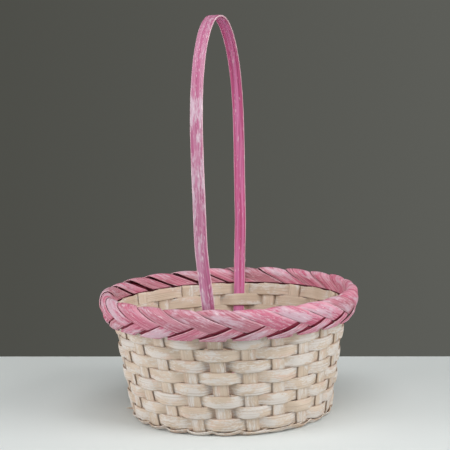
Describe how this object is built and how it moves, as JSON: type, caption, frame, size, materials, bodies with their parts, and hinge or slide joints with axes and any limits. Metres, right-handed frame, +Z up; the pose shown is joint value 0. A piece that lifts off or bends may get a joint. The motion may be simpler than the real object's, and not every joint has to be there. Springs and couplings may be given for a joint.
{
  "type": "easter basket",
  "caption": "Round tapered woven splint basket with a whitewashed wall, a pink braided rim and a tall pink hoop handle.",
  "frame": {"origin": "middle of the footprint, on the surface the basket stands on", "axes": "+Z up, the hoop handle lies in the YZ plane, +X is the right-hand side in the picture"},
  "size_m": [0.2494, 0.2494, 0.386],
  "materials": {
    "whitewashed_splint": "flat bamboo splint, unevenly whitewashed, with bare tan wood showing along the fibres",
    "plain_splint": "plain bamboo splint, matt and fibrous",
    "pink_rim": "pink-dyed bamboo splint, dry-brushed with white",
    "pink_handle": "pink-dyed flat bamboo, satin, with pale streaks along the fibres"
  },
  "bodies": {
    "root": {"splint_01": "whitewashed_splint", "splint_02": "whitewashed_splint", "splint_03": "whitewashed_splint", "splint_04": "whitewashed_splint", "splint_05": "whitewashed_splint", "splint_06": "whitewashed_splint", "splint_07": "whitewashed_splint", "splint_08": "whitewashed_splint", "splint_09": "whitewashed_splint", "splint_10": "whitewashed_splint", "splint_11": "whitewashed_splint", "splint_12": "whitewashed_splint", "wall_row_01": "whitewashed_splint", "wall_row_02": "whitewashed_splint", "wall_row_03": "whitewashed_splint", "wall_row_04": "whitewashed_splint", "wall_row_05": "whitewashed_splint", "wall_row_06": "whitewashed_splint", "wall_row_07": "whitewashed_splint", "wall_row_08": "whitewashed_splint", "wall_row_09": "whitewashed_splint", "base_ring_01": "plain_splint", "base_ring_02": "plain_splint", "base_ring_03": "plain_splint", "base_binding_01": "plain_splint", "base_binding_02": "plain_splint", "rim_core": "plain_splint", "rim_strip_01": "pink_rim", "rim_strip_02": "pink_rim", "rim_strip_03": "pink_rim", "rim_strip_04": "pink_rim", "rim_strip_05": "pink_rim", "rim_strip_06": "pink_rim", "rim_strip_07": "pink_rim", "rim_strip_08": "pink_rim", "rim_strip_09": "pink_rim", "rim_strip_10": "pink_rim", "rim_strip_11": "pink_rim", "rim_strip_12": "pink_rim", "rim_strip_13": "pink_rim", "rim_strip_14": "pink_rim", "rim_strip_15": "pink_rim", "rim_strip_16": "pink_rim", "rim_strip_17": "pink_rim", "rim_strip_18": "pink_rim", "rim_strip_19": "pink_rim", "rim_strip_20": "pink_rim", "rim_strip_21": "pink_rim", "rim_strip_22": "pink_rim", "rim_strip_23": "pink_rim", "rim_strip_24": "pink_rim", "handle": "pink_handle"}
  },
  "joints": []
}
